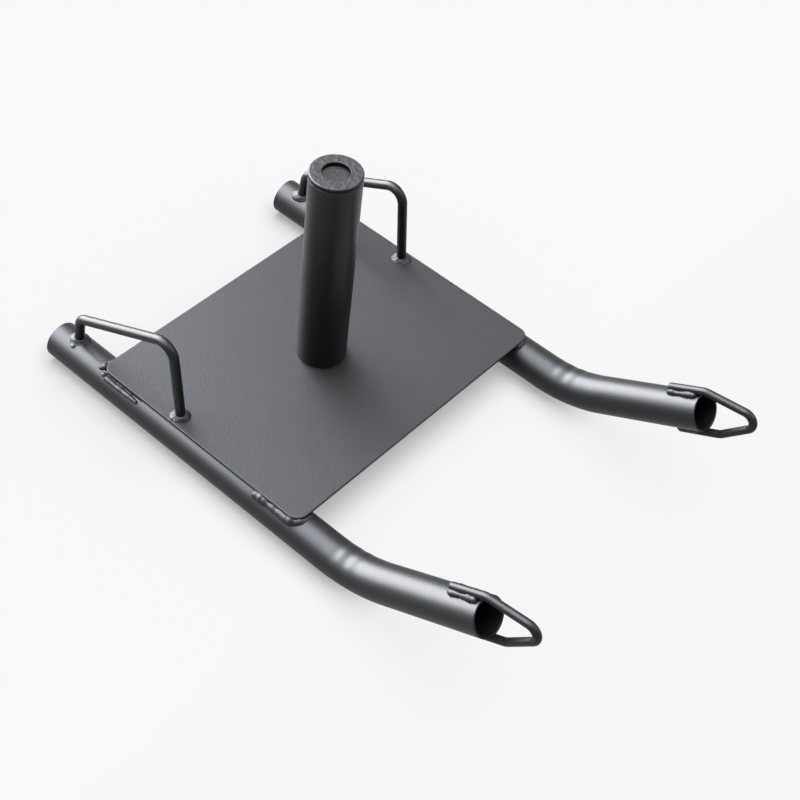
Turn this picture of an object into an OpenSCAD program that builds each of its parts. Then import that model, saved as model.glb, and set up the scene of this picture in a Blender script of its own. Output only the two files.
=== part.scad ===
// Weight sled: two bent tube runners carry a flat deck with a round post for weight discs.
// Drawn with the floor at z = 0, +X forwards to the tow loops, +Y to the left.

/* [Runners] */
// Outer diameter of the runner tube
runner_d = 38; // [32:0.5:45]
// Wall of the runner tube
runner_wall = 2; // [1.5:0.1:3]
// Distance between the two runners, centreline to centreline
runner_spacing = 322; // [260:1:420]
// Straight tube behind the deck
runner_rear_l = 73; // [62:1:140]
// Straight tube between the front of the deck and the bend
runner_front_l = 31; // [15:1:80]
// Radius of the ski bend, at the centreline
runner_bend_r = 138; // [90:1:220]
// Upward slope of the ski tip
runner_tip_angle = 30; // [20:1:40]
// Straight tube after the bend
runner_tip_l = 120; // [70:1:180]

/* [Deck] */
// Length of the deck, front to back
deck_l = 263; // [220:1:340]
// Thickness of the deck plate
deck_t = 3.4; // [3:0.1:8]
// How far the deck reaches sideways past the runner's centreline
deck_overhang = 10; // [8:0.5:12]
// Radius of the deck's corners
deck_corner_r = 12; // [6:0.5:18]

/* [Weight post] */
// Outer diameter of the post, for discs with a 50 mm hole
post_d = 50; // [44:0.5:60]
// Wall of the post tube
post_wall = 2.5; // [2:0.1:4]
// Height of the post tube above the deck
post_h = 223; // [120:1:400]
// How far the deck reaches in under the post's bore, round the hole that its weld is made through
post_ledge = 5; // [4.5:0.1:8]

/* [Post cap] */
// Thickness of the cap's flange
cap_flange_t = 5; // [4:0.1:8]
// Rounding of the flange's top edge
cap_rim_r = 1.4; // [0.5:0.1:2.5]
// Diameter of the round recess in the top of the cap
cap_recess_d = 26.5; // [18:0.5:32]
// Depth of the recess
cap_recess_depth = 5; // [2:0.1:8]
// Thickness of the recess floor
cap_floor_t = 2; // [1.2:0.1:3]
// Depth of the cap's plug inside the post
cap_plug_l = 22; // [15:1:35]
// Wall of the cap's plug
cap_plug_wall = 2; // [1.4:0.1:3]
// Number of gripping ribs around the plug
cap_ribs = 4; // [2:1:6]
// Height and thickness of one rib
cap_rib_t = 1; // [0.6:0.1:1.6]
// Gap all round between the ribs and the inside of the post
cap_clearance = 0.1; // [0.05:0.05:0.4]
// Diameter of the moulding mark in the middle of the recess
cap_pip_d = 2.4; // [1:0.1:5]
// Height of the moulding mark
cap_pip_h = 0.4; // [0.2:0.1:1]

/* [Handles] */
// Diameter of the handle rod
handle_d = 10; // [8:0.5:14]
// Radius of the handle's bends, at the centreline
handle_bend_r = 15; // [11:0.5:20]
// How far the handle stands in from the runner's centreline
handle_inset = 2; // [0:0.5:4]
// Distance of the front foot behind the post's axis
handle_front_back = 33; // [28:1:60]
// Height of the front corner above the deck
handle_front_h = 92; // [70:1:140]
// How far the front leg leans back at its top
handle_front_lean = 10; // [0:0.5:20]
// Distance of the rear foot behind the deck
handle_rear_back = 46; // [24:1:50]
// Height of the rear corner above the runner
handle_rear_h = 30; // [28:1:60]
// How far the rear leg leans forwards at its top
handle_rear_lean = 3.5; // [0:0.5:8]

/* [Tow loops] */
// Diameter of the tow loop rod
tow_d = 8; // [6:0.5:10]
// Length of each leg that lies along the runner
tow_grip_l = 34; // [24:1:50]
// Reach of the loop's sharp corner past the end of the runner
tow_reach = 69; // [55:1:100]
// Drop of the loop's corner below the runner's centreline
tow_drop = 3; // [0:0.5:6]
// Where the top leg bends down, past the end of the runner
tow_top_bend = 6; // [5:0.5:12]
// Where the bottom leg bends up, past the end of the runner
tow_bottom_bend = 11; // [5:0.5:16]
// Radius of the loop's nose, at the centreline
tow_nose_r = 10; // [7:0.5:14]
// Radius of the bends in the two legs, at the centreline
tow_leg_r = 18; // [10:0.5:25]

/* [Welds] */
// Radius of the beads that join the deck to the runners
deck_weld_r = 5.2; // [4.4:0.1:6]
// Radius of the round start and stop of those beads
deck_weld_end_r = 5.6; // [4.6:0.1:6.4]
// Length of the bead along the deck's side, from the corner
deck_weld_side_l = 52; // [35:1:80]
// Length of the bead along the deck's front or rear edge, from the corner
deck_weld_edge_l = 17; // [15:0.5:22]
// How far the bead's middle lies outside the deck's edge
deck_weld_out = 0.3; // [0:0.1:1]
// How far the bead's middle lies below the middle of the gap
deck_weld_low = 0.8; // [0:0.1:1.5]
// Radius of the ring bead round each handle foot
foot_weld_r = 3.2; // [2.4:0.1:4]
// How far the ring bead's middle lies outside the rod
foot_weld_out = 0.6; // [0.2:0.1:1.5]
// How far the ring bead's middle lies below the top of the runner
foot_weld_low = 1; // [0.5:0.1:1.5]
// Radius of the beads beside the tow loop's legs
tow_weld_r = 3; // [2.4:0.1:3.6]
// Radius of the round start and stop of those beads
tow_weld_end_r = 3.4; // [2.6:0.1:4]
// Length of the beads beside the tow loop's legs
tow_weld_l = 26; // [16:1:30]
// How far the beads start behind the tow loop's end
tow_weld_back = 1.5; // [0:0.5:3]
// How far the beads' middle lies outside the rod and outside the tube
tow_weld_out = 0.6; // [0.2:0.1:1.2]
// Radius of the ring bead inside the foot of the post
post_weld_r = 3; // [2.4:0.1:3.6]
// How far that ring's middle lies inside the post's bore
post_weld_in = 0.6; // [0.2:0.1:0.8]

/* [Hidden] */
$fn = 96;

// Overrun of a cutter past the face that it cuts
cut = 1;
// A bend is drawn out a hair thinner than its straight stretches, which run a little way over it
bend_thin = 0.08;
bend_bite = 0.3;
LEFT = 1;
RIGHT = -1;
FRONT = 1;
REAR = -1;

runner_r = runner_d / 2;
runner_y = runner_spacing / 2;
runner_rear_x = -deck_l / 2 - runner_rear_l;
bend_x = deck_l / 2 + runner_front_l;
deck_w = runner_spacing + 2 * deck_overhang;
deck_top = runner_d + deck_t;
post_bore_r = post_d / 2 - post_wall;

// Middle of the runner's open front end, in the plane y = runner_y
tip_x = bend_x + runner_bend_r * sin(runner_tip_angle) + runner_tip_l * cos(runner_tip_angle);
tip_z = runner_r + runner_bend_r * (1 - cos(runner_tip_angle)) + runner_tip_l * sin(runner_tip_angle);

// A point of the plane y = runner_y, given along the ski tip and square to it from its open end
function tip_point(along, above) = [
    tip_x + along * cos(runner_tip_angle) - above * sin(runner_tip_angle),
    tip_z + along * sin(runner_tip_angle) + above * cos(runner_tip_angle)
];

// Routes of the bent tubes and rods: [x, z] corners and the bend radius at each inner corner
runner_tangent = runner_bend_r * tan(runner_tip_angle / 2);
runner_route = [
    [runner_rear_x, runner_r],
    [bend_x + runner_tangent, runner_r],
    [tip_x, tip_z]
];
tow_offset = runner_r + tow_d / 2;
tow_route = [
    tip_point(-tow_grip_l, tow_offset),
    tip_point(tow_top_bend, tow_offset),
    tip_point(tow_reach, -tow_drop),
    tip_point(tow_bottom_bend, -tow_offset),
    tip_point(-tow_grip_l, -tow_offset)
];
tow_bends = [tow_leg_r, tow_nose_r, tow_leg_r];

handle_y = runner_y - handle_inset;
rear_foot = [-deck_l / 2 - handle_rear_back, runner_d];
rear_corner = rear_foot + [handle_rear_lean, handle_rear_h];
front_foot = [-handle_front_back, deck_top];
front_corner = front_foot + [-handle_front_lean, handle_front_h];
handle_route = [
    longer(rear_corner, rear_foot, handle_d / 2),
    rear_corner,
    front_corner,
    longer(front_corner, front_foot, cut)
];
handle_bends = [handle_bend_r, handle_bend_r];

// Drop of the runner's surface from its top to below the deck's side edge
edge_drop = runner_r - sqrt(pow(runner_r, 2) - pow(deck_overhang, 2));
deck_weld_z = runner_d - edge_drop / 2 - deck_weld_low;

// The loop's nose is the foremost point, and the model is centred between it and the runners' rear ends
nose_centre = bend_centre(tow_route, tow_bends, 2);
front_x = nose_centre[0] + tow_nose_r + tow_d / 2;
middle_x = (front_x + runner_rear_x) / 2;

// End point moved on by extra, along the line that starts at from
function longer(from, to, extra) = to + (to - from) / norm(to - from) * extra;

// Direction of stretch i of a route, in degrees from +X towards +Z
function heading(route, i) = atan2(route[i + 1][1] - route[i][1], route[i + 1][0] - route[i][0]);

// Turn at corner i, positive when the route turns upwards, from -180 to 180
function turn(route, i) = let (t = heading(route, i) - heading(route, i - 1)) t > 180 ? t - 360 : t < -180 ? t + 360 : t;

// Length that the bend at corner i takes from the stretches on both sides
function setback(route, bends, i) =
    i == 0 || i == len(route) - 1 ? 0 : bends[i - 1] * tan(abs(turn(route, i)) / 2);

// Where the bend at corner i starts, and the middle of its arc
function bend_start(route, bends, i) = route[i]
    - setback(route, bends, i) * [cos(heading(route, i - 1)), sin(heading(route, i - 1))];
function bend_centre(route, bends, i) = bend_start(route, bends, i)
    + bends[i - 1] * sign(turn(route, i)) * [-sin(heading(route, i - 1)), cos(heading(route, i - 1))];

// A round bar of diameter d along a route in the plane y = 0
module bent_bar(route, bends, d, longer_ends = 0) {
    for (i = [0 : len(route) - 2]) {
        at_start = i == 0 ? -longer_ends : setback(route, bends, i) - bend_bite;
        at_end = i == len(route) - 2 ? -longer_ends : setback(route, bends, i + 1) - bend_bite;
        bar_l = norm(route[i + 1] - route[i]) - at_start - at_end;
        translate([route[i][0], 0, route[i][1]])
            rotate([0, 90 - heading(route, i), 0])
                translate([0, 0, at_start])
                    cylinder(h = bar_l, d = d);
    }
    for (i = [1 : len(route) - 2]) {
        swing = turn(route, i);
        centre = bend_centre(route, bends, i);
        first = swing > 0 ? heading(route, i - 1) - 90 : heading(route, i) + 90;
        translate([centre[0], 0, centre[1]])
            rotate([90, 0, 0])
                rotate([0, 0, first])
                    rotate_extrude(angle = abs(swing))
                        translate([bends[i - 1], 0])
                            circle(r = d / 2 - bend_thin);
    }
}

// Puts what is drawn round the deck's middle into the model's own frame
module placed() {
    translate([-middle_x, 0, 0])
        children();
}

// The runner's outside as a solid bar, for cutting what is welded to it
module runner_bar(side) {
    translate([0, side * runner_y, 0])
        bent_bar(runner_route, [runner_bend_r], runner_d);
}

module runner(side) {
    color("#2c2d2f")
        placed()
            difference() {
                runner_bar(side);
                translate([0, side * runner_y, 0])
                    bent_bar(runner_route, [runner_bend_r], runner_d - 2 * runner_wall, cut);
            }
}

// The plate without its hole, with its round-cornered outline carried on below it if asked
module deck_blank(below = 0) {
    corner_x = deck_l / 2 - deck_corner_r;
    corner_y = deck_w / 2 - deck_corner_r;
    translate([0, 0, runner_d - below])
        linear_extrude(deck_t + below)
            union() {
                square([deck_l, 2 * corner_y], center = true);
                square([2 * corner_x, deck_w], center = true);
                for (x = [-corner_x, corner_x], y = [-corner_y, corner_y])
                    translate([x, y])
                        circle(r = deck_corner_r);
            }
}

module deck_plate() {
    color("#55575a")
        placed()
            difference() {
                deck_blank();
                translate([0, 0, runner_d - cut])
                    cylinder(h = deck_t + 2 * cut, r = post_bore_r - post_ledge);
            }
}

module weight_post() {
    color("#242526")
        placed()
            translate([0, 0, deck_top])
                difference() {
                    cylinder(h = post_h, d = post_d);
                    translate([0, 0, -cut])
                        cylinder(h = post_h + 2 * cut, r = post_bore_r);
                }
}

// Half outline of the cap, with z = 0 where its flange sits on the post
module cap_outline() {
    flange_r = post_d / 2;
    rib_r = post_bore_r - cap_clearance;
    plug_r = rib_r - cap_rib_t;
    rib_step = (cap_plug_l - cap_rib_t) / cap_ribs;
    floor_z = cap_flange_t - cap_recess_depth;
    difference() {
        union() {
            square([flange_r, cap_flange_t - cap_rim_r]);
            square([flange_r - cap_rim_r, cap_flange_t]);
            translate([flange_r - cap_rim_r, cap_flange_t - cap_rim_r])
                circle(r = cap_rim_r);
            translate([0, floor_z - cap_floor_t])
                square([plug_r, cap_floor_t + cap_recess_depth / 2]);
            translate([plug_r - cap_plug_wall, -cap_plug_l])
                square([cap_plug_wall, cap_plug_l + cap_rib_t]);
            for (i = [1 : cap_ribs])
                translate([plug_r - cap_plug_wall / 2, -i * rib_step])
                    square([cap_plug_wall / 2 + cap_rib_t, cap_rib_t]);
        }
        translate([0, floor_z])
            square([cap_recess_d / 2, cap_recess_depth + cut]);
    }
}

module post_cap() {
    color("#3a3c3f")
        placed()
            translate([0, 0, deck_top + post_h]) {
                rotate_extrude()
                    cap_outline();
                translate([0, 0, cap_flange_t - cap_recess_depth])
                    cylinder(h = cap_pip_h, d = cap_pip_d);
            }
}

// Ring of weld metal in the corner between the post's bore and the deck's top face
module post_weld() {
    color("#333437")
        placed()
            translate([0, 0, deck_top])
                rotate_extrude()
                    intersection() {
                        translate([post_bore_r - post_weld_in, 0])
                            circle(r = post_weld_r);
                        square([post_bore_r, post_weld_r + cut]);
                    }
}

module handle_bar(side) {
    translate([0, side * handle_y, 0])
        bent_bar(handle_route, handle_bends, handle_d);
}

module handle(side) {
    color("#2c2d2f")
        placed()
            difference() {
                handle_bar(side);
                runner_bar(side);
                below_front_foot(side);
            }
}

// All that lies below the deck's top face round the handle's front foot
module below_front_foot(side) {
    reach = handle_d + foot_weld_r + cut;
    depth = foot_weld_r + cut;
    translate([front_foot[0] - reach, side * handle_y - reach, deck_top - depth])
        cube([2 * reach, 2 * reach, depth]);
}

// Ring of weld metal round a rod that stands at z = 0
module foot_ring() {
    rotate_extrude()
        translate([handle_d / 2 + foot_weld_out, 0])
            circle(r = foot_weld_r);
}

module handle_weld_front(side) {
    color("#333437")
        placed()
            difference() {
                translate([front_foot[0], side * handle_y, front_foot[1]])
                    foot_ring();
                handle_bar(side);
                below_front_foot(side);
            }
}

module handle_weld_rear(side) {
    color("#333437")
        placed()
            difference() {
                translate([rear_foot[0], side * handle_y, rear_foot[1] - foot_weld_low])
                    foot_ring();
                handle_bar(side);
                runner_bar(side);
            }
}

module tow_loop(side) {
    color("#2c2d2f")
        placed()
            translate([0, side * runner_y, 0])
                bent_bar(tow_route, tow_bends, tow_d);
}

// Beads on both sides of one leg of a tow loop, above the ski tip or below it
module tow_weld(side, above) {
    bead_y = tow_d / 2 + tow_weld_out;
    bead_above = above * (runner_r + tow_weld_out);
    bead_start = -tow_grip_l - tow_weld_back;
    start = tip_point(bead_start, bead_above);
    color("#333437")
        placed()
            difference() {
                translate([start[0], side * runner_y, start[1]])
                    rotate([0, 90 - runner_tip_angle, 0])
                        for (y = [-bead_y, bead_y])
                            translate([0, y, 0]) {
                                cylinder(h = tow_weld_l, r = tow_weld_r);
                                sphere(r = tow_weld_end_r);
                                translate([0, 0, tow_weld_l])
                                    sphere(r = tow_weld_end_r);
                            }
                runner_bar(side);
                translate([0, side * runner_y, 0])
                    bent_bar(tow_route, tow_bends, tow_d);
            }
}

// Bead along the deck's side, round its corner and along its front edge, at the front left corner
module deck_bead() {
    side_y = deck_w / 2 + deck_weld_out;
    edge_x = deck_l / 2 + deck_weld_out;
    start = [deck_l / 2 - deck_weld_side_l, side_y];
    stop = [edge_x, deck_w / 2 - deck_weld_edge_l];
    translate([0, 0, deck_weld_z]) {
        rotate([-90, 0, 0])
            bent_bar([start, [edge_x, side_y], stop], [deck_corner_r + deck_weld_out], 2 * deck_weld_r);
        for (end = [start, stop])
            translate([end[0], end[1], 0])
                sphere(r = deck_weld_end_r);
    }
}

module deck_weld(end, side) {
    color("#333437")
        placed()
            difference() {
                mirror([end == REAR ? 1 : 0, 0, 0])
                    mirror([0, side == RIGHT ? 1 : 0, 0])
                        deck_bead();
                deck_blank(runner_r);
                runner_bar(side);
            }
}

deck_plate();
runner(LEFT);  // runner_left
runner(RIGHT);  // runner_right
weight_post();
post_cap();
post_weld();
handle(LEFT);  // handle_left
handle(RIGHT);  // handle_right
tow_loop(LEFT);  // tow_loop_left
tow_loop(RIGHT);  // tow_loop_right
deck_weld(FRONT, LEFT);  // deck_weld_front_left
deck_weld(FRONT, RIGHT);  // deck_weld_front_right
deck_weld(REAR, LEFT);  // deck_weld_rear_left
deck_weld(REAR, RIGHT);  // deck_weld_rear_right
handle_weld_front(LEFT);  // handle_weld_front_left
handle_weld_front(RIGHT);  // handle_weld_front_right
handle_weld_rear(LEFT);  // handle_weld_rear_left
handle_weld_rear(RIGHT);  // handle_weld_rear_right
tow_weld(LEFT, 1);  // tow_weld_top_left
tow_weld(RIGHT, 1);  // tow_weld_top_right
tow_weld(LEFT, -1);  // tow_weld_bottom_left
tow_weld(RIGHT, -1);  // tow_weld_bottom_right
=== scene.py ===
"""Weight sled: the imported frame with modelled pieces, painted finishes and a pale studio."""

import math
import random

import bmesh
import bpy
from bpy.props import FloatProperty, FloatVectorProperty, PointerProperty
from mathutils import Matrix, Vector


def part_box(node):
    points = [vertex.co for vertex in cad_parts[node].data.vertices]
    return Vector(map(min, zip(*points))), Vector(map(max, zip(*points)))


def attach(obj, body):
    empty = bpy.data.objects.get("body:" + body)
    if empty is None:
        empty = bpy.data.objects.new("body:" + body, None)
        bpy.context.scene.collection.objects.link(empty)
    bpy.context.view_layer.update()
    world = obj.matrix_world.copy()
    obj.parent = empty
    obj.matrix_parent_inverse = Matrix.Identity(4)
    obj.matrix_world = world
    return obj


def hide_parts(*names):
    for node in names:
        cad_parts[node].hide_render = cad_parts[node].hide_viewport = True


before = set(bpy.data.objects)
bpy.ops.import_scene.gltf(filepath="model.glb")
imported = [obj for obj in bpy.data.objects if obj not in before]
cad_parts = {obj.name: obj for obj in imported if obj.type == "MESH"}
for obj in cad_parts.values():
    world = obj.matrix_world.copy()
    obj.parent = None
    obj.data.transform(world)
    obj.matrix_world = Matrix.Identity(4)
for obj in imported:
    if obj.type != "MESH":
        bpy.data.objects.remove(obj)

bl_info = {
    "name": "Weight sled",
    "version": (1, 0, 0),
    "blender": (4, 5, 0),
    "location": "3D View > Sidebar > Weight sled",
    "description": "Models a weight sled of tube, plate and rod, and the studio it stands in",
    "category": "Object",
}

MM = 0.001

# Signs of Y on the two sides, and of X at the two ends
LEFT, RIGHT = 1, -1
FRONT, REAR = 1, -1

RUNNER_LOW, RUNNER_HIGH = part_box("runner_right")
DECK_LOW, DECK_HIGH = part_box("deck_plate")
POST_LOW, POST_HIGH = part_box("weight_post")
CAP_LOW, CAP_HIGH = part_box("post_cap")
HANDLE_LOW, HANDLE_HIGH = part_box("handle_left")
RUNNER_R = (RUNNER_HIGH.y - RUNNER_LOW.y) / 2
RUNNER_Y = -(RUNNER_HIGH.y + RUNNER_LOW.y) / 2
POST_R = (POST_HIGH.y - POST_LOW.y) / 2
POST_X = (POST_LOW.x + POST_HIGH.x) / 2
CAP_R = (CAP_HIGH.y - CAP_LOW.y) / 2
HANDLE_Y = (HANDLE_LOW.y + HANDLE_HIGH.y) / 2

# Three shallow wrinkles that the bending tool left inside the ski bend, along its centreline
WRINKLE_FIRST = 14.5 * MM
WRINKLE_PITCH = 17 * MM
WRINKLE_REACH = 62 * MM
TUBE_RIM = 0.4 * MM  # rounding of the cut ends of the runners

POST_RIM = 0.3 * MM  # rounding of the post's cut ends

# The cap: recess with its rim, flange, and the plug that grips the bore with four ribs
RECESS_R = 13.25 * MM
RECESS_DEPTH = 5 * MM
RECESS_RIM = 0.5 * MM
RECESS_FILLET = 0.15 * MM
FLANGE_ROUND = 1.4 * MM
PLUG_PLAY = 1.1 * MM
PLUG_WALL = 2 * MM
RIBS = 4
RIB = 1 * MM
RIB_PITCH = 5.25 * MM
# Marks of the mould on the recess's floor, as (place, height) in millimetres: a pip in the
# middle, and a faint ring placed from the recess's wall
MOULD_PIP = ((0, 0.4), (0.9, 0.4), (1.5, 0))
MOULD_RING = ((-4.7, 0), (-4.2, 0.3), (-3.7, 0))

# Handles: feet behind the deck and behind the post's middle, and upper corners from the feet
HANDLE_REAR = 46 * MM
HANDLE_FRONT = 33 * MM
HANDLE_REAR_TOP = Vector((3.5, 30)) * MM
HANDLE_FRONT_TOP = Vector((-10, 92)) * MM
HANDLE_BENDS = [15 * MM, 15 * MM]

# Tow loops, along the ski tip from its open end: start of both legs, upper corner, nose and
# lower corner
TOW_START = -34 * MM
TOW_UPPER = 6 * MM
TOW_NOSE, TOW_NOSE_DROP = 69 * MM, 3 * MM
TOW_LOWER = 11 * MM
TOW_BENDS = [18 * MM, 10 * MM, 18 * MM]
TOW_RIM = 1.4 * MM

# Weld beads. Their radii are in millimetres, one after the other along the bead.
CUT_IN = 0.3 * MM  # how far the beads reach into the steel
DECK_BEAD_END = 17  # length of a deck bead along the deck's end, in millimetres
FULL_BEAD = [5.4, 5.9, 5.0, 3.9, 4.6, 4.2, 4.9, 5.1, 5.4, 4.2, 5.0, 4.5, 3.5]
LOW_BEAD = [3.0, 3.2, 2.9, 3.0, 3.1, 2.9, 3.1, 3.0, 3.2, 3.4, 4.6, 5.2, 4.6]
THIN_BEAD = [1.7, 1.7]
RIDGE_BEAD = [2.1, 2.7, 2.9, 2.7, 3.1, 2.7, 3.0, 3.3]
# Lumps at the deck's rear corners in millimetres: (backwards, outwards) from where the plate's
# sides would meet, and height; then the half sizes
REAR_LUMPS = (
    ((0.6, -5.2, 38.4), (4.2, 4.2, 3.4)),
    ((3.4, -1.2, 37.0), (2.4, 2.0, 1.8)),
    ((1.4, -5.4, 38.8), (2.4, 2.4, 1.8)),
    ((-5.0, 1.4, 35.4), (3.4, 2.8, 2.8)),
    ((0.4, -12.0, 38.4), (2.6, 4.2, 2.4)),
)
FOOT_LUMPS = (3.4, 3.6, 2.9, 3.0, 3.5, 4.0, 3.1, 2.3)
# Rings of a foot's bead in millimetres: out from the rod, up from the steel, and their share
FOOT_RINGS = ((2.5, -1.5, 1.0), (1.3, 0.2, 0.85), (0.1, 1.7, 0.75))
POST_BEAD = [1.9, 1.7, 2.0, 1.8, 1.9]

# Coats: share by which a colour drifts, and gloss lost at each step down into the cap's recess
DRIFT = 0.14
MATT_LOSS = 0.12

# Floor: from the deck's front edge on, its shadow fades out under the raised ski tips
FLOOR_SPAN = 12
FADE_START = 30 * MM
FADE_END = 110 * MM
FADED_LIFT = 0.9

# Camera: the point it turns round, its lens and sensor in millimetres, and its picture's shift
CAMERA_TARGET = Vector((-18.1, -32.35, 41.4)) * MM
CAMERA_LENS = 68.036
CAMERA_SENSOR = 36
CAMERA_SHIFT = (0.05866, 0.00846)


# Colours and small tools


def colour(code):
    """An sRGB hex colour as the linear values that Blender reads."""
    parts = [int(code[i : i + 2], 16) / 255 for i in (1, 3, 5)]
    return tuple(c / 12.92 if c <= 0.04045 else ((c + 0.055) / 1.055) ** 2.4 for c in parts)


def size(name, description, default, high=1.0):
    """A length that the user may change, in metres."""
    return FloatProperty(
        name=name, description=description, default=default, min=0.0, max=high, unit="LENGTH"
    )


def paint(name, description, code):
    """A colour that the user may change."""
    return FloatVectorProperty(
        name=name,
        description=description,
        subtype="COLOR",
        size=3,
        min=0,
        max=1,
        default=colour(code),
    )


def turn(name, description, degrees):
    """An angle that the user may change."""
    return FloatProperty(
        name=name, description=description, default=math.radians(degrees), unit="ROTATION"
    )


def amount(name, description, default):
    """A strength or a share that the user may change."""
    return FloatProperty(name=name, description=description, default=default)


class SledShape(bpy.types.PropertyGroup):
    """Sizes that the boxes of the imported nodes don't give."""

    runner_wall: size("Runner wall", "Wall of the runner tube", 2 * MM, high=0.005)
    runner_front: size("Runner before bend", "Straight tube between deck and bend", 31 * MM)
    runner_bend: size("Bend radius", "Radius of the ski bend at the centreline", 138 * MM)
    runner_rise: turn("Ski slope", "Upward slope of the ski tip", 30)
    runner_tip: size("Ski tip", "Straight tube after the bend", 120 * MM)
    bend_mark: size("Bend mark", "Depth of the wrinkles inside the bend", 0.9 * MM)
    deck_corner: size("Deck corner", "Radius of the deck's corners", 12 * MM)
    deck_edge: size("Deck edge", "Rounding of the deck's cut edges", 0.9 * MM)
    deck_ledge: size("Deck ledge", "Reach of the deck in under the post's bore", 5 * MM)
    post_wall: size("Post wall", "Wall of the post tube", 2.5 * MM)
    handle_rod: size("Handle rod", "Diameter of the handle rod", 10 * MM)
    tow_rod: size("Tow rod", "Diameter of the tow loop rod", 8 * MM)


class SledFinish(bpy.types.PropertyGroup):
    """Colours of the coat and the cap."""

    # Painted light: the same black powder as the tubes', painted a shade lighter on the top-lit
    # plate
    plate_coat_and_painted_light: paint("Plate coat", "Powder coat on the deck", "#151617")
    tube_coat: paint("Tube coat", "Powder coat on tubes and rods", "#0f1011")
    # Painted light: the same black powder as the tubes', painted a shade lighter on the welds
    weld_coat: paint("Weld coat", "Powder coat over the welds", "#1a1b1d")
    cap_black: paint("Cap plastic", "Moulded plastic of the cap", "#131416")
    floor_pale: paint("Floor", "Pale studio floor and backdrop", "#f6f6f6")


class SledStudio(bpy.types.PropertyGroup):
    """Camera and lights."""

    camera_azimuth: turn("Camera azimuth", "Turn of the camera round the sled", 37.6053)
    camera_elevation: turn("Camera elevation", "Height of the camera above the horizon", 48.3174)
    camera_roll: turn("Camera roll", "Lean of the camera about its own axis", 6.428)
    camera_distance: size("Camera distance", "Distance from the deck", 1.4539, high=5)
    ceiling_strength: amount("Ceiling", "Strength of the soft ceiling light", 2.36)
    side_strength: amount("Side soft box", "Strength of the side soft box", 2)
    top_strength: amount("Top soft box", "Strength of the top soft box", 15.5)
    rear_strength: amount("Rear soft box", "Strength of the rear soft box", 23.5)
    sky_strength: amount("Sky", "Strength of the light all round", 0.3)
    floor_lift: amount("Floor lift", "Share of the floor that shows no shadow", 0.35)


# Modelling helpers


def clear_selection():
    """Leaves nothing selected, in object mode."""
    if bpy.context.object and bpy.context.object.mode != "OBJECT":
        bpy.ops.object.mode_set(mode="OBJECT")
    bpy.ops.object.select_all(action="DESELECT")


def choose(piece):
    """Makes a piece the active one, with nothing else selected."""
    clear_selection()
    bpy.context.view_layer.objects.active = piece
    piece.select_set(True)


def begin(name, add, **settings):
    """Adds a primitive by itself, puts its place into its mesh and opens it for editing."""
    clear_selection()
    add(**settings)
    piece = bpy.context.object
    piece.name = piece.data.name = name
    bpy.ops.object.transform_apply(location=True, rotation=True, scale=True)
    bpy.ops.object.mode_set(mode="EDIT")
    bpy.ops.mesh.select_mode(type="VERT")
    return piece


def pick_edges(test):
    """Selects the edges of the mesh in edit mode whose middle and length pass the test."""
    bpy.ops.mesh.select_all(action="DESELECT")
    bpy.ops.mesh.select_mode(type="EDGE")
    mesh = bmesh.from_edit_mesh(bpy.context.object.data)
    for edge in mesh.edges:
        middle = (edge.verts[0].co + edge.verts[1].co) / 2
        edge.select_set(test(middle, edge.calc_length()))
    mesh.select_flush_mode()
    bmesh.update_edit_mesh(bpy.context.object.data)


def extrude(along):
    """Extrudes what is selected by a vector."""
    bpy.ops.mesh.extrude_region_move(TRANSFORM_OT_translate={"value": along})


def face_outwards():
    """Turns all faces of the mesh in edit mode outwards and closes it for editing."""
    bpy.ops.mesh.select_all(action="SELECT")
    bpy.ops.mesh.normals_make_consistent(inside=False)
    bpy.ops.object.mode_set(mode="OBJECT")


def apply(piece, kind, **settings):
    """Adds a modifier to a piece and applies it."""
    choose(piece)
    modifier = piece.modifiers.new(kind.title(), kind)
    for name, value in settings.items():
        setattr(modifier, name, value)
    bpy.ops.object.modifier_apply(modifier=modifier.name)


def round_edges(piece, width, segments=2, angle=50):
    """Rounds the edges of a piece that turn by more than the angle in degrees."""
    sharp = math.radians(angle)
    apply(
        piece, "BEVEL", width=width, segments=segments, limit_method="ANGLE", angle_limit=sharp
    )


def finish_piece(piece, material, slot, *nodes, angle=30):
    """Turns faces outwards, smooths them, and gives the piece its finish and place; the slot is not
    used.
    """
    choose(piece)
    bpy.ops.object.mode_set(mode="EDIT")
    face_outwards()
    bpy.ops.object.shade_smooth_by_angle(angle=math.radians(angle))
    apply(piece, "WEIGHTED_NORMAL", keep_sharp=True)
    piece.data.materials.clear()
    piece.data.materials.append(material)
    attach(piece, "root")
    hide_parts(*nodes)


def copy_of(piece, name, shift):
    """A copy of a piece with its own mesh, moved by a vector."""
    clear_selection()
    twin = piece.copy()
    twin.data = piece.data.copy()
    twin.name = twin.data.name = name
    bpy.context.scene.collection.objects.link(twin)
    twin.data.transform(Matrix.Translation(shift))
    return twin


def heading(route, i):
    """Direction of stretch i of a route of (x, z) points, as an angle from +X towards +Z."""
    return math.atan2(route[i + 1].y - route[i].y, route[i + 1].x - route[i].x)


def bend_at(route, i):
    """Signed turn at corner i of a route, positive upwards."""
    swing = heading(route, i) - heading(route, i - 1)
    return (swing + math.pi) % (2 * math.pi) - math.pi


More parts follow.
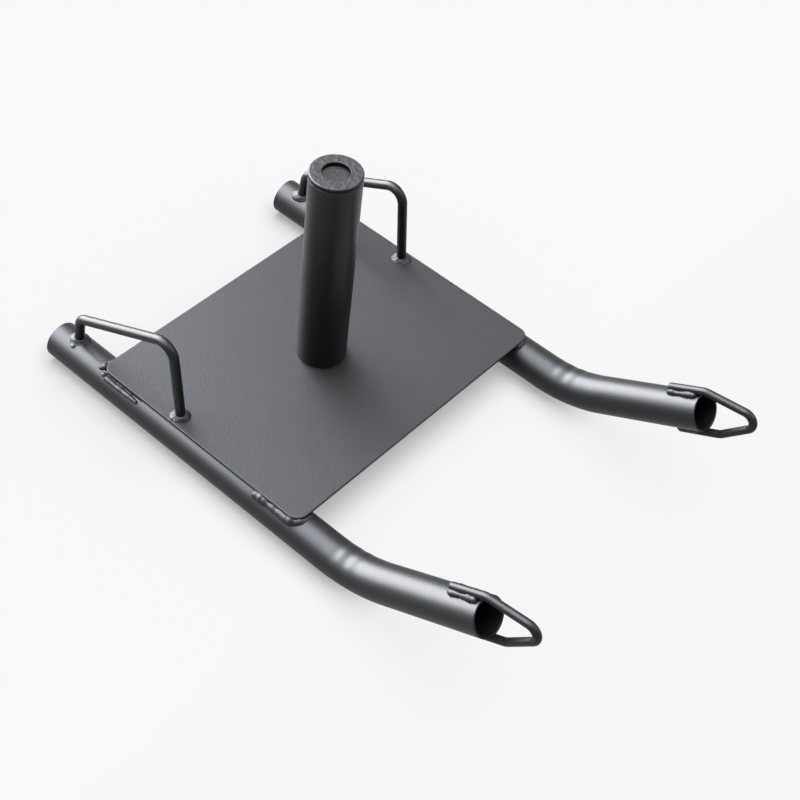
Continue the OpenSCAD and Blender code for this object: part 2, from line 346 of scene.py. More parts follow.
def bent_bar(name, route, bends, radius, y, ring, step):
    """A round bar along a route in the plane y, left open at its ends.

    A ring of so many corners is extruded along the stretches and spun round the bends, in
    steps of so many degrees.
    """
    piece = begin(
        name,
        bpy.ops.mesh.primitive_circle_add,
        vertices=ring,
        radius=radius,
        location=(route[0].x, y, route[0].y),
        rotation=(0, math.pi / 2 - heading(route, 0), 0),
    )
    for i in range(len(route) - 1):
        along = Vector((math.cos(heading(route, i)), 0, math.sin(heading(route, i))))
        length = (route[i + 1] - route[i]).length
        if i > 0:
            length -= bends[i - 1] * math.tan(abs(bend_at(route, i)) / 2)
        if i == len(route) - 2:
            extrude(along * length)
            break
        swing = bend_at(route, i + 1)
        short = bends[i] * math.tan(abs(swing) / 2)
        extrude(along * (length - short))
        centre = route[i + 1] - short * Vector((along.x, along.z))
        centre += math.copysign(bends[i], swing) * Vector((-along.z, along.x))
        bpy.ops.mesh.spin(
            steps=max(2, round(math.degrees(abs(swing)) / step)),
            angle=abs(swing),
            center=(centre.x, y, centre.y),
            axis=(0, math.copysign(1, swing), 0),
        )
    face_outwards()
    return piece


def close_ends(piece, rim=0):
    """Fills the open ends of a bar and rounds their rims."""
    choose(piece)
    bpy.ops.object.mode_set(mode="EDIT")
    bpy.ops.mesh.select_all(action="SELECT")
    bpy.ops.mesh.fill_holes(sides=0)
    face_outwards()
    if rim:
        round_edges(piece, rim)


def lathe(name, outline):
    """A turned piece: a chain of (radius, z) points spun about the post's middle line."""
    piece = begin(name, bpy.ops.mesh.primitive_plane_add, size=MM, location=(0, 0, 0))
    bpy.ops.mesh.merge(type="CENTER")
    points = [Vector((POST_X + r, 0, z)) for r, z in outline]
    bpy.ops.transform.translate(value=points[0])
    for here, there in zip(points, points[1:]):
        extrude(there - here)
    bpy.ops.mesh.select_all(action="SELECT")
    bpy.ops.mesh.spin(steps=96, angle=2 * math.pi, center=(POST_X, 0, 0), axis=(0, 0, 1))
    bpy.ops.mesh.select_all(action="SELECT")
    bpy.ops.mesh.remove_doubles(threshold=0.001 * MM)
    bpy.ops.object.mode_set(mode="OBJECT")
    return piece


# Routes


def tip_point(shape, along, above):
    """A point by the ski tip as (x, z), along it and square to it from its open end's middle."""
    rise, bend, tip = shape.runner_rise, shape.runner_bend, shape.runner_tip
    start = DECK_HIGH.x + shape.runner_front
    end = Vector(
        (
            start + bend * math.sin(rise) + tip * math.cos(rise),
            RUNNER_R + bend * (1 - math.cos(rise)) + tip * math.sin(rise),
        )
    )
    way = Vector((math.cos(rise), math.sin(rise)))
    square = Vector((-math.sin(rise), math.cos(rise)))
    return end + along * way + above * square


def runner_route(shape):
    """Corners of the runner's centreline as (x, z)."""
    corner = DECK_HIGH.x + shape.runner_front + shape.runner_bend * math.tan(shape.runner_rise / 2)
    return [
        Vector((RUNNER_LOW.x, RUNNER_R)),
        Vector((corner, RUNNER_R)),
        tip_point(shape, 0, 0),
    ]


def handle_route():
    """Corners of the handle's centreline as (x, z), from its foot on the runner to the deck."""
    rear = Vector((DECK_LOW.x - HANDLE_REAR, DECK_LOW.z))
    front = Vector((POST_X - HANDLE_FRONT, DECK_HIGH.z))
    return [rear, rear + HANDLE_REAR_TOP, front + HANDLE_FRONT_TOP, front]


def tow_route(shape):
    """Corners of the tow loop's centreline as (x, z)."""
    beside = RUNNER_R + shape.tow_rod / 2
    return [
        tip_point(shape, TOW_START, beside),
        tip_point(shape, TOW_UPPER, beside),
        tip_point(shape, TOW_NOSE, -TOW_NOSE_DROP),
        tip_point(shape, TOW_LOWER, -beside),
        tip_point(shape, TOW_START, -beside),
    ]


def deck_corner_line(end, side, side_l, out, z):
    """Line of a bead along the deck's side, round its corner and along its end, in millimetres."""
    x = (DECK_HIGH.x if end == FRONT else -DECK_LOW.x) / MM + out
    y = DECK_HIGH.y / MM + out
    r = bpy.context.scene.sled_shape.deck_corner / MM + out
    line = [(x - side_l, y)]
    for i in range(7):
        a = math.radians(90 - 15 * i)
        line.append((x - r + r * math.cos(a), y - r + r * math.sin(a)))
    line.append((x, y - DECK_BEAD_END))
    return [Vector((end * px, side * py, z)) * MM for px, py in line]


def circle(middle, radius, steps):
    """Points round a middle at its height, with the first one again at the end."""
    turns = [math.radians(360 / steps * i) for i in range(steps + 1)]
    return [middle + Vector((radius * math.cos(a), radius * math.sin(a), 0)) for a in turns]


# Weld metal


def along_line(points, pitch):
    """Points spaced by the pitch along a chain of points, each with its direction."""
    spots, left = [], 0.0
    for here, there in zip(points, points[1:]):
        run = there - here
        at = left
        while at <= run.length:
            spots.append((here + run.normalized() * at, run.normalized()))
            at += pitch
        left = at - run.length
    return spots


def bead(points, radii, seed, pitch=1.8 * MM, rough=0.07, steep=1.0):
    """Drops of a hand-laid bead along a chain of points: it swells and thins as the radii say."""
    chance = random.Random(seed)
    spots = along_line(points, pitch)
    drops = []
    for i, (spot, way) in enumerate(spots):
        at = i / max(1, len(spots) - 1) * (len(radii) - 1)
        low = min(int(at), len(radii) - 2)
        wide = (radii[low] + (radii[low + 1] - radii[low]) * (at - low)) * MM
        wide *= 1 + chance.uniform(-rough, rough)
        shift = Vector([chance.uniform(-rough, rough) * wide for _ in range(3)])
        lean = way.to_track_quat("X", "Z").to_euler()
        drops.append((spot + shift, (0.9 * wide, steep * wide, wide), lean))
    return drops


def nugget(place, sizes):
    """One drop at a place with its three half sizes, in millimetres."""
    return (Vector(place) * MM, tuple(s * MM for s in sizes), (0, 0, 0))


def rear_corner(side, side_l, seed):
    """Drops under the plate's rear corner, a thin web, the ridge beside the edge, and lumps."""
    under = deck_corner_line(REAR, side, side_l, out=-1.8, z=37.0)
    web = deck_corner_line(REAR, side, side_l, out=-2.2, z=35.0)[:2]
    ridge = deck_corner_line(REAR, side, side_l, out=2.2, z=33.3)[:3]
    drops = bead(under, THIN_BEAD, seed, pitch=1.2 * MM, rough=0.03)
    drops += bead(web, THIN_BEAD, seed, pitch=1.2 * MM, rough=0.03)
    drops += bead(ridge, RIDGE_BEAD, seed, pitch=1.0 * MM, rough=0.04)
    x, y = -DECK_LOW.x / MM, DECK_HIGH.y / MM
    for (back, out, z), sizes in REAR_LUMPS:
        drops.append(nugget((-(x + back), side * (y + out), z), sizes))
    return drops


def foot_ring(place, radius, seed):
    """Drops of a bead round a rod's foot: three rings, from the steel up to a collar on the rod."""
    chance = random.Random(seed)
    drops = []
    for out, up, swell in FOOT_RINGS:
        points = circle(place + Vector((0, 0, up * MM)), radius + out * MM, 24)
        radii = [swell * chance.uniform(0.85, 1.15) * lump for lump in FOOT_LUMPS]
        drops += bead(points, radii + radii[:1], seed, pitch=1.7 * MM, rough=0.06)
    return drops


def runner_cutter(side):
    """A solid bar in the place of a runner, for cutting welds."""
    shape = bpy.context.scene.sled_shape
    route, bends = runner_route(shape), [shape.runner_bend]
    bar = bent_bar("cutter", route, bends, RUNNER_R - CUT_IN, side * RUNNER_Y, ring=96, step=2)
    close_ends(bar)
    return bar


def weld(name, drops, cutters=(), voxel=0.5 * MM):
    """Weld metal: drops that ran together, with what lies inside the steel cut away."""
    piece = None
    for place, sizes, lean in drops:
        settings = {
            "subdivisions": 2,
            "radius": 1,
            "location": place,
            "scale": sizes,
            "rotation": lean,
        }
        if piece is None:
            piece = begin(name + "_dressed", bpy.ops.mesh.primitive_ico_sphere_add, **settings)
        else:
            bpy.ops.mesh.primitive_ico_sphere_add(**settings)
    bpy.ops.object.mode_set(mode="OBJECT")
    apply(piece, "REMESH", mode="VOXEL", voxel_size=voxel)
    apply(piece, "SMOOTH", factor=0.5, iterations=6)
    for cutter in cutters:
        apply(piece, "BOOLEAN", operation="DIFFERENCE", solver="EXACT", object=cutter)
    finish_piece(piece, weld_coat(), "weld_coat", name, angle=50)


# Materials


def node(tree, kind, inputs=None, **settings):
    """Adds one shader node, sets its properties, and fills or links its inputs."""
    made = tree.nodes.new(kind)
    for name, value in settings.items():
        setattr(made, name, value)
    for name, value in (inputs or {}).items():
        if isinstance(value, bpy.types.NodeSocket):
            tree.links.new(value, made.inputs[name])
        else:
            made.inputs[name].default_value = value
    return made


def blank_material(name):
    """A new material with nothing in its node tree."""
    material = bpy.data.materials.new(name)
    material.use_nodes = True
    material.node_tree.nodes.clear()
    return material, material.node_tree


def coated(
    name, tint, roughness, spread, peel, grain, gloss=0.25, pitch=1.6 * MM, matt_and_painted_light_below=()
):
    """A black coat or moulding: a drifting colour, uneven gloss, soft dimples and a fine grain.

    The roughness varies by the spread. The dimples are as deep as peel and a pitch apart, and
    the grain is as deep as grain. Below each given height the surface is duller, and painted in a
    colour that stands in for light there, as painted shade or painted sheen.
    """
    if name in bpy.data.materials:
        return bpy.data.materials[name]
    material, tree = blank_material(name)
    place = node(tree, "ShaderNodeTexCoord").outputs["Object"]
    # Drift over patches some 30 mm wide, where the coat is thicker and thinner
    drift = node(
        tree, "ShaderNodeTexNoise", {"Vector": place, "Scale": 1 / (30.3 * MM), "Detail": 3.0}
    )
    tone = node(
        tree,
        "ShaderNodeMix",
        {
            "Factor": drift.outputs["Fac"],
            "A": (*[c * (1 - DRIFT) for c in tint], 1),
            "B": (*[c * (1 + DRIFT) for c in tint], 1),
        },
        data_type="RGBA",
    )
    # Orange peel: soft dimples, drawn deeper than real ones so that they show
    dimples = node(
        tree, "ShaderNodeTexNoise", {"Vector": place, "Scale": 1 / pitch, "Detail": 2.0}
    )
    # Powder grain, really some 0.2 mm, drawn at 0.8 mm so that it shows
    powder = node(
        tree, "ShaderNodeTexNoise", {"Vector": place, "Scale": 1 / (0.8 * MM), "Detail": 1.0}
    )
    soft = node(
        tree,
        "ShaderNodeBump",
        {"Height": dimples.outputs["Fac"], "Distance": peel, "Strength": 1.0},
    )
    fine = node(
        tree,
        "ShaderNodeBump",
        {
            "Height": powder.outputs["Fac"],
            "Distance": grain,
            "Strength": 1.0,
            "Normal": soft.outputs["Normal"],
        },
    )
    sheen = node(
        tree,
        "ShaderNodeMapRange",
        {
            "Value": powder.outputs["Fac"],
            "From Min": 0.3,
            "From Max": 0.7,
            "To Min": roughness - spread,
            "To Max": roughness + spread,
        },
    )
    shine = gloss
    # Each step down paints a colour in place of light: painted shade or painted sheen
    for height, code in matt_and_painted_light_below:
        level = node(tree, "ShaderNodeSeparateXYZ", {0: place}).outputs["Z"]
        low = node(tree, "ShaderNodeMath", {0: level, 1: height}, operation="LESS_THAN").outputs[0]
        tone = node(
            tree,
            "ShaderNodeMix",
            {"Factor": low, "A": tone.outputs["Result"], "B": (*colour(code), 1)},
            data_type="RGBA",
        )
        duller = node(
            tree, "ShaderNodeMath", {0: low, 1: -MATT_LOSS, 2: shine}, operation="MULTIPLY_ADD"
        )
        shine = duller.outputs[0]
    shader = node(
        tree,
        "ShaderNodeBsdfPrincipled",
        {
            "Base Color": tone.outputs["Result"],
            "Roughness": sheen.outputs["Result"],
            "Normal": fine.outputs["Normal"],
            "IOR": 1.5,
            "Specular IOR Level": shine,
        },
    )
    node(tree, "ShaderNodeOutputMaterial", {"Surface": shader.outputs["BSDF"]})
    return material


def plate_coat_and_painted_light():
    """Satin black powder coat on flat steel plate: grey from above, with a fine even grain; its
    black is painted a shade lighter than on the tubes, as painted light on the top-lit plate.
    """
    return coated(
        "Powder-coated steel plate",
        bpy.context.scene.sled_finish.plate_coat_and_painted_light,
        roughness=0.46,
        spread=0.06,
        peel=0.16 * MM,
        grain=0.09 * MM,
    )


def tube_coat():
    """Satin black powder coat on drawn steel tube: near black with long soft bright bands."""
    return coated(
        "Powder-coated steel tube",
        bpy.context.scene.sled_finish.tube_coat,
        roughness=0.44,
        spread=0.05,
        peel=0.03 * MM,
        grain=0.015 * MM,
    )


def post_coat():
    """The same coat rubbed by the weight discs: a near black column with soft grey flanks."""
    return coated(
        "Powder-coated steel post",
        bpy.context.scene.sled_finish.tube_coat,
        roughness=0.37,
        spread=0.06,
        peel=0.03 * MM,
        grain=0.015 * MM,
        gloss=0.23,
    )


def rod_coat():
    """Satin black powder coat on round steel rod: thin hard bright lines."""
    return coated(
        "Powder-coated steel rod",
        bpy.context.scene.sled_finish.tube_coat,
        roughness=0.43,
        spread=0.05,
        peel=0.015 * MM,
        grain=0.008 * MM,
        gloss=0.2,
    )


def weld_coat():
    """The same coat over weld metal: it pools and shines on the ripples; its black is painted a
    shade lighter than on the tubes, as painted light.
    """
    return coated(
        "Powder-coated weld metal",
        bpy.context.scene.sled_finish.weld_coat,
        roughness=0.5,
        spread=0.06,
        peel=0.16 * MM,
        grain=0.04 * MM,
        gloss=0.24,
    )


def cap_plastic():
    """Moulded black polyethylene: mottled grey, its recess's wall painted black as painted shade
    and its matt floor painted grey as painted sheen.
    """
    # Painted light, each from its height below the cap's top: the recess's wall, the flange's side
    # and all below them painted black as painted shade, and the recess's floor and all below it
    # painted grey as painted sheen
    wall = (CAP_HIGH.z - 1.5 * MM, "#000000")
    floor = (CAP_HIGH.z - 4.7 * MM, "#5b5b5b")
    return coated(
        "Moulded black polyethylene",
        bpy.context.scene.sled_finish.cap_black,
        roughness=0.48,
        spread=0.06,
        peel=0.85 * MM,
        grain=0.05 * MM,
        gloss=0.27,
        pitch=6 * MM,
        matt_and_painted_light_below=(wall, floor),
    )


# Operators


class SLED_OT_deck(bpy.types.Operator):
    """Lays the deck plate on the runners, with round corners and the hole under the post"""

    bl_idname = "sled.deck"
    bl_label = "Deck plate"

    def execute(self, context):
        shape = context.scene.sled_shape
        middle, span = (DECK_LOW + DECK_HIGH) / 2, DECK_HIGH - DECK_LOW
        deck = begin(
            "deck_dressed", bpy.ops.mesh.primitive_cube_add, size=1, location=middle, scale=span
        )
        pick_edges(lambda spot, length: abs(spot.z - middle.z) < MM and length < 2 * span.z)
        bpy.ops.mesh.bevel(offset=shape.deck_corner, segments=12, affect="EDGES")
        bpy.ops.object.mode_set(mode="OBJECT")
        hole = begin(
            "hole",
            bpy.ops.mesh.primitive_cylinder_add,
            vertices=64,
            radius=POST_R - shape.post_wall - shape.deck_ledge,
            depth=4 * span.z,
            location=(POST_X, 0, middle.z),
        )
        bpy.ops.object.mode_set(mode="OBJECT")
        apply(deck, "BOOLEAN", operation="DIFFERENCE", solver="EXACT", object=hole)
        bpy.data.objects.remove(hole)
        round_edges(deck, shape.deck_edge, segments=3)
        finish_piece(deck, plate_coat_and_painted_light(), "deck_coat", "deck_plate")
        return {"FINISHED"}


class SLED_OT_runners(bpy.types.Operator):
    """Bends the two runner tubes"""

    bl_idname = "sled.runners"
    bl_label = "Runners"

    def execute(self, context):
        shape = context.scene.sled_shape
        bend = shape.runner_bend
        route = runner_route(shape)
        runner = bent_bar(
            "runner_left_dressed", route, [bend], RUNNER_R, RUNNER_Y, ring=96, step=0.4
        )
        # The wrinkles press in the upper half of the bend, deepest on top, and fade at both ends
        centre = Vector((DECK_HIGH.x + shape.runner_front, RUNNER_Y, RUNNER_R + bend))
        for v in runner.data.vertices:
            a = math.atan2(v.co.x - centre.x, centre.z - v.co.z)
            on, up = a * bend, Vector((-math.sin(a), 0, math.cos(a)))
            out = v.co - (centre - up * bend)
            if 0 < on < WRINKLE_REACH and out.dot(up) > 0:
                wave = 0.5 + 0.5 * math.cos(2 * math.pi * (on - WRINKLE_FIRST) / WRINKLE_PITCH)
                fade = math.sin(math.pi * on / WRINKLE_REACH) ** 2
                side = (out.dot(up) / RUNNER_R) ** 2
                v.co -= out.normalized() * shape.bend_mark * wave * fade * side
        apply(runner, "SOLIDIFY", thickness=shape.runner_wall, offset=-1, use_rim=True)
        round_edges(runner, TUBE_RIM, angle=60)
        finish_piece(runner, tube_coat(), "tube_coat", "runner_left")
        twin = copy_of(runner, "runner_right_dressed", Vector((0, -2 * RUNNER_Y, 0)))
        finish_piece(twin, tube_coat(), "tube_coat", "runner_right")
        return {"FINISHED"}


class SLED_OT_post(bpy.types.Operator):
    """Stands the post for weight discs on the deck"""

    bl_idname = "sled.post"
    bl_label = "Weight post"

    def execute(self, context):
        bore = POST_R - context.scene.sled_shape.post_wall
        low, high = POST_LOW.z, POST_HIGH.z
        outline = [
            (bore, low),
            (POST_R - POST_RIM, low),
            (POST_R, low + POST_RIM),
            (POST_R, high - POST_RIM),
            (POST_R - POST_RIM, high),
            (bore, high),
            (bore, low),
        ]
        post = lathe("post_dressed", outline)
        finish_piece(post, post_coat(), "post_coat", "weight_post")
        return {"FINISHED"}


class SLED_OT_cap(bpy.types.Operator):
    """Presses the moulded cap into the post"""

    bl_idname = "sled.cap"
    bl_label = "Post cap"

    def execute(self, context):
        top, seat, foot = CAP_HIGH.z, POST_HIGH.z, CAP_LOW.z
        floor = top - RECESS_DEPTH
        plug = POST_R - context.scene.sled_shape.post_wall - PLUG_PLAY
        hollow = plug - PLUG_WALL
        # From the middle of the recess's floor out to the flange, down the plug and back inside
        outline = [(x * MM, floor + z * MM) for x, z in MOULD_PIP]
        outline += [(RECESS_R + x * MM, floor + z * MM) for x, z in MOULD_RING]
        outline += [
            (RECESS_R - RECESS_FILLET, floor),
            (RECESS_R, floor + RECESS_FILLET),
            (RECESS_R, top - RECESS_RIM),
            (RECESS_R + 0.2 * RECESS_RIM, top - 0.3 * RECESS_RIM),
            (RECESS_R + RECESS_RIM, top),
        ]
        for a in (0, 0.4, 0.8, 1.2, math.pi / 2):
            across, down = FLANGE_ROUND * (1 - math.sin(a)), FLANGE_ROUND * (1 - math.cos(a))
            outline.append((CAP_R - across, top - down))
        outline += [(CAP_R, seat), (plug, seat)]
        for i in range(1, RIBS + 1):
            z = seat - i * RIB_PITCH
            outline += [(plug, z + RIB), (plug + RIB, z + RIB), (plug + RIB, z), (plug, z)]
        outline += [(plug, foot), (hollow, foot), (hollow, floor - PLUG_WALL)]
        outline += [(0, floor - PLUG_WALL)]
        cap = lathe("cap_dressed", outline)
        finish_piece(cap, cap_plastic(), "cap_plastic", "post_cap", angle=40)
        return {"FINISHED"}


class SLED_OT_handles(bpy.types.Operator):
    """Bends the two rod handles"""

    bl_idname = "sled.handles"
    bl_label = "Handles"

    def execute(self, context):
        rod = context.scene.sled_shape.handle_rod / 2
        route = handle_route()
        handle = bent_bar(
            "handle_left_dressed", route, HANDLE_BENDS, rod, HANDLE_Y, ring=40, step=3
        )
        close_ends(handle)
        finish_piece(handle, rod_coat(), "rod_coat", "handle_left")
        twin = copy_of(handle, "handle_right_dressed", Vector((0, -2 * HANDLE_Y, 0)))
        finish_piece(twin, rod_coat(), "rod_coat", "handle_right")
        return {"FINISHED"}


class SLED_OT_tow_loops(bpy.types.Operator):
    """Bends the two tow loops"""

    bl_idname = "sled.tow_loops"
    bl_label = "Tow loops"

    def execute(self, context):
        shape = context.scene.sled_shape
        route, rod = tow_route(shape), shape.tow_rod / 2
        loop = bent_bar(
            "tow_loop_left_dressed", route, TOW_BENDS, rod, RUNNER_Y, ring=40, step=3
        )
        close_ends(loop, TOW_RIM)
        finish_piece(loop, rod_coat(), "rod_coat", "tow_loop_left")
        twin = copy_of(loop, "tow_loop_right_dressed", Vector((0, -2 * RUNNER_Y, 0)))
        finish_piece(twin, rod_coat(), "rod_coat", "tow_loop_right")
        return {"FINISHED"}


class SLED_OT_deck_welds(bpy.types.Operator):
    """Lays the beads that join the deck's corners to the runners"""

    bl_idname = "sled.deck_welds"
    bl_label = "Deck welds"

    def execute(self, context):
        span, middle = DECK_HIGH - DECK_LOW, (DECK_LOW + DECK_HIGH) / 2
        deep = 10 * MM
        plate = begin(
            "plate_cutter",
            bpy.ops.mesh.primitive_cube_add,
            size=1,
            location=(middle.x, 0, DECK_LOW.z + CUT_IN + deep / 2),
            scale=(span.x - 2 * CUT_IN, span.y - 2 * CUT_IN, deep),
        )
        pick_edges(lambda spot, length: length < deep + MM)
        bpy.ops.mesh.bevel(
            offset=context.scene.sled_shape.deck_corner, segments=12, affect="EDGES"
        )
        bpy.ops.object.mode_set(mode="OBJECT")
        # Each corner with the length of its bead along the deck's side, in millimetres
        corners = (
            ("front_right", FRONT, RIGHT, 52),
            ("front_left", FRONT, LEFT, 40),
            ("rear_right", REAR, RIGHT, 53),
            ("rear_left", REAR, LEFT, 40),
        )
        for seed, (corner, end, side, side_l) in enumerate(corners):
            if end == FRONT:
                # A full bead on the right, and a low one tucked under the plate on the left
                out, radii = (1.0, FULL_BEAD) if side == RIGHT else (-0.3, LOW_BEAD)
                line = deck_corner_line(end, side, side_l, out, z=35.2)
                drops = bead(line, radii, seed, pitch=1.4 * MM, rough=0.05, steep=0.82)
            else:
                drops = rear_corner(side, side_l, seed)
            bar = runner_cutter(side)
            weld(f"deck_weld_{corner}", drops, [bar, plate])
            bpy.data.objects.remove(bar)
        bpy.data.objects.remove(plate)
        return {"FINISHED"}


class SLED_OT_foot_welds(bpy.types.Operator):
    """Lays the beads round the feet of the handles"""

    bl_idname = "sled.foot_welds"
    bl_label = "Handle welds"

    def execute(self, context):
        rod = context.scene.sled_shape.handle_rod / 2
        rear, *_, front = handle_route()
        block = 40 * MM
        for side, side_name in ((LEFT, "left"), (RIGHT, "right")):
            y = side * HANDLE_Y
            drops = foot_ring(Vector((front.x, y, DECK_HIGH.z)), rod, seed=5 + side)
            cutter = begin(
                "cutter",
                bpy.ops.mesh.primitive_cube_add,
                size=block,
                location=(front.x, y, DECK_HIGH.z - CUT_IN - block / 2),
            )
            bpy.ops.object.mode_set(mode="OBJECT")
            weld(f"handle_weld_front_{side_name}", drops, [cutter])
            bpy.data.objects.remove(cutter)

            drops = foot_ring(Vector((rear.x, y, DECK_LOW.z - 1 * MM)), rod, seed=4 + side)
            # A lump where the bead was begun, on the outer side
            outer = side * (HANDLE_Y / MM + 9.2)
            drops.append(nugget((rear.x / MM + 1.6, outer, 34.9), (3.9, 3.6, 3.0)))
            cutter = runner_cutter(side)
            weld(f"handle_weld_rear_{side_name}", drops, [cutter])
            bpy.data.objects.remove(cutter)
        return {"FINISHED"}


class SLED_OT_tow_welds(bpy.types.Operator):
    """Lays the beads beside the legs of the tow loops"""

    bl_idname = "sled.tow_welds"
    bl_label = "Tow loop welds"

    def execute(self, context):
        shape = context.scene.sled_shape
        # Each leg: above or below the ski tip, start and stop of its beads along it in
        # millimetres, and how strong they are
        legs = (("top", 1, -32.5, -4, 1.0), ("bottom", -1, -31, -10, 0.8))
        flanks = ((-1, (3.4, 3.4, 2.5, 3.0, 4.0, 3.4)), (1, (2.8, 3.6, 2.8, 2.5, 3.3, 2.7)))
        height, out = RUNNER_R + 0.8 * MM, shape.tow_rod / 2 + 0.5 * MM
        seed = 0
        for side, side_name in ((LEFT, "left"), (RIGHT, "right")):
            for level, above, start, stop, swell in legs:
                drops = []
                for flank, lumps in flanks:
                    seed += 1
                    ends = [tip_point(shape, a * MM, above * height) for a in (start, stop)]
                    line = [Vector((p.x, side * RUNNER_Y + flank * out, p.y)) for p in ends]
                    radii = [swell * lump for lump in lumps]
                    drops += bead(line, radii, seed, pitch=1.5 * MM, rough=0.08, steep=0.9)
                cutter = runner_cutter(side)
                weld(f"tow_weld_{level}_{side_name}", drops, [cutter])
                bpy.data.objects.remove(cutter)
        return {"FINISHED"}


class SLED_OT_post_weld(bpy.types.Operator):
    """Lays the ring of weld inside the foot of the post"""

    bl_idname = "sled.post_weld"
    bl_label = "Post weld"

    def execute(self, context):
        ring = POST_R - context.scene.sled_shape.post_wall - 1.2 * MM
        points = circle(Vector((POST_X, 0, DECK_HIGH.z + 0.9 * MM)), ring, 48)
        weld("post_weld", bead(points, POST_BEAD, seed=5), voxel=0.6 * MM)
        return {"FINISHED"}


# Studio


def seen_directly(tree):
    """1 for rays from the camera, from gloss and through glass, 0 for rays that light the scene."""
    path = node(tree, "ShaderNodeLightPath").outputs
    seen = path["Is Camera Ray"]
    for kind in ("Is Glossy Ray", "Is Transmission Ray"):
        either = node(
            tree, "ShaderNodeMath", {0: seen, 1: path[kind]}, operation="ADD", use_clamp=True
        )
        seen = either.outputs[0]
    return seen


def lay_floor(studio, finish):
    """Lays the floor: matt studio paper, pale and even, its shadow softened where it is seen."""
    floor = begin("floor", bpy.ops.mesh.primitive_plane_add, size=FLOOR_SPAN)
    bpy.ops.object.mode_set(mode="OBJECT")
    material, tree = blank_material("Matt studio paper")
    pale = (*finish.floor_pale, 1)
    paper = node(tree, "ShaderNodeBsdfDiffuse", {"Color": pale, "Roughness": 0.0})
    glow = node(tree, "ShaderNodeEmission", {"Color": pale, "Strength": 1.0})
    place = node(tree, "ShaderNodeTexCoord").outputs["Object"]
    spot = node(tree, "ShaderNodeSeparateXYZ", {0: place})
    fade = node(
        tree,
        "ShaderNodeMapRange",
        {
            "Value": spot.outputs["X"],
            "From Min": DECK_HIGH.x + FADE_START,
            "From Max": DECK_HIGH.x + FADE_END,
            "To Min": studio.floor_lift,
            "To Max": FADED_LIFT,
        },
        interpolation_type="SMOOTHSTEP",
    )
    lift = node(
        tree,
        "ShaderNodeMath",
        {0: seen_directly(tree), 1: fade.outputs["Result"]},
        operation="MULTIPLY",
    )
    mixed = node(
        tree,
        "ShaderNodeMixShader",
        {0: lift.outputs[0], 1: paper.outputs[0], 2: glow.outputs[0]},
    )
    node(tree, "ShaderNodeOutputMaterial", {"Surface": mixed.outputs["Shader"]})
    floor.data.materials.append(material)


def hang_lights(studio):
    """Hangs the ceiling, which lights the colours, and three soft boxes that only gloss shows."""
    # Each light: the way to it, its width in degrees, its strength and its colour
    lights = {
        "ceiling": ((0.12, 0.12, 0.985), 65, studio.ceiling_strength, "#ffffff"),
        "side soft box": ((0.6, 0.46, 0.65), 30, studio.side_strength, "#ecf3ff"),
        "top soft box": ((-0.55, -0.2, 0.8), 72, studio.top_strength, "#ecf3ff"),
        "rear soft box": ((-0.92, -0.1, 0.38), 58, studio.rear_strength, "#f9fbff"),
    }
    for name, (towards, width, strength, code) in lights.items():
        clear_selection()
        facing = Vector(towards).to_track_quat("Z", "Y").to_euler()
        bpy.ops.object.light_add(type="SUN", rotation=facing)
        lamp = bpy.context.object
        lamp.name = name
        lamp.visible_diffuse = name == "ceiling"
        lamp.data.angle = math.radians(width)
        lamp.data.energy = strength
        lamp.data.color = colour(code)


def paint_world(scene, studio, finish):
    """Gives the world a faint even light, and the floor's pale colour where it is seen."""
    world = bpy.data.worlds.new("Studio")
    scene.world = world
    world.use_nodes = True
    tree = world.node_tree
    tree.nodes.clear()
    white, pale = (*colour("#ffffff"), 1), (*finish.floor_pale, 1)
    sky = node(
        tree, "ShaderNodeBackground", {"Color": white, "Strength": studio.sky_strength}
    )
    backdrop = node(tree, "ShaderNodeBackground", {"Color": pale, "Strength": 1.0})
    mixed = node(
        tree,
        "ShaderNodeMixShader",
        {0: seen_directly(tree), 1: sky.outputs["Background"], 2: backdrop.outputs["Background"]},
    )
    node(tree, "ShaderNodeOutputWorld", {"Surface": mixed.outputs["Shader"]})


def set_camera(scene, studio):
    """Sets up the camera at its angles and distance from its target."""
    az, el, roll = studio.camera_azimuth, studio.camera_elevation, studio.camera_roll
    back = Vector((math.sin(az) * math.cos(el), -math.cos(az) * math.cos(el), math.sin(el)))
    right = Vector((math.cos(az), math.sin(az), 0))
    up = back.cross(right)
    across = math.cos(roll) * right + math.sin(roll) * up
    upright = -math.sin(roll) * right + math.cos(roll) * up
    clear_selection()
    bpy.ops.object.camera_add()
    camera = bpy.context.object
    turned = Matrix((across, upright, back)).transposed().to_4x4()
    spot = CAMERA_TARGET + studio.camera_distance * back
    camera.matrix_world = Matrix.Translation(spot) @ turned
    camera.data.lens = CAMERA_LENS
    camera.data.sensor_width = CAMERA_SENSOR
    camera.data.shift_x, camera.data.shift_y = CAMERA_SHIFT
    scene.camera = camera


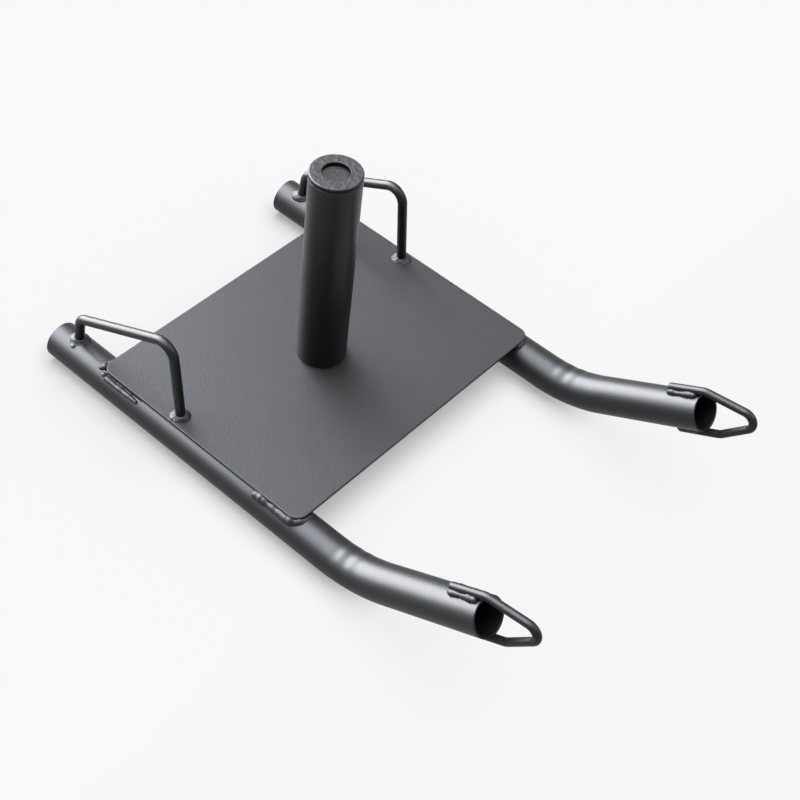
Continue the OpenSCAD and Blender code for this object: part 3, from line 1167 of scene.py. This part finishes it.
class SLED_OT_studio(bpy.types.Operator):
    """Sets up the pale floor, the soft lights and the camera"""

    bl_idname = "sled.studio"
    bl_label = "Studio"

    def execute(self, context):
        scene = context.scene
        lay_floor(scene.sled_studio, scene.sled_finish)
        hang_lights(scene.sled_studio)
        paint_world(scene, scene.sled_studio, scene.sled_finish)
        set_camera(scene, scene.sled_studio)
        scene.view_settings.view_transform = "Standard"
        return {"FINISHED"}


OPERATORS = (
    SLED_OT_deck,
    SLED_OT_runners,
    SLED_OT_post,
    SLED_OT_cap,
    SLED_OT_handles,
    SLED_OT_tow_loops,
    SLED_OT_deck_welds,
    SLED_OT_foot_welds,
    SLED_OT_tow_welds,
    SLED_OT_post_weld,
    SLED_OT_studio,
)


class SLED_PT_panel(bpy.types.Panel):
    """Lists the steps that build the sled"""

    bl_idname = "SLED_PT_panel"
    bl_label = "Weight sled"
    bl_space_type = "VIEW_3D"
    bl_region_type = "UI"
    bl_category = "Weight sled"

    def draw(self, context):
        scene = context.scene
        for group in (scene.sled_shape, scene.sled_finish, scene.sled_studio):
            for name in group.bl_rna.properties.keys():
                if name not in ("rna_type", "name"):
                    self.layout.prop(group, name)
        for step in OPERATORS:
            self.layout.operator(step.bl_idname)


CLASSES = (SledShape, SledFinish, SledStudio, *OPERATORS, SLED_PT_panel)


def register():
    for kind in CLASSES:
        bpy.utils.register_class(kind)
    bpy.types.Scene.sled_shape = PointerProperty(type=SledShape)
    bpy.types.Scene.sled_finish = PointerProperty(type=SledFinish)
    bpy.types.Scene.sled_studio = PointerProperty(type=SledStudio)


def unregister():
    del bpy.types.Scene.sled_studio
    del bpy.types.Scene.sled_finish
    del bpy.types.Scene.sled_shape
    for kind in reversed(CLASSES):
        bpy.utils.unregister_class(kind)


def main():
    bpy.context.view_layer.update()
    register()
    bpy.ops.sled.deck()
    bpy.ops.sled.runners()
    bpy.ops.sled.post()
    bpy.ops.sled.cap()
    bpy.ops.sled.handles()
    bpy.ops.sled.tow_loops()
    bpy.ops.sled.deck_welds()
    bpy.ops.sled.foot_welds()
    bpy.ops.sled.tow_welds()
    bpy.ops.sled.post_weld()
    bpy.ops.sled.studio()


if __name__ == "__main__":
    main()
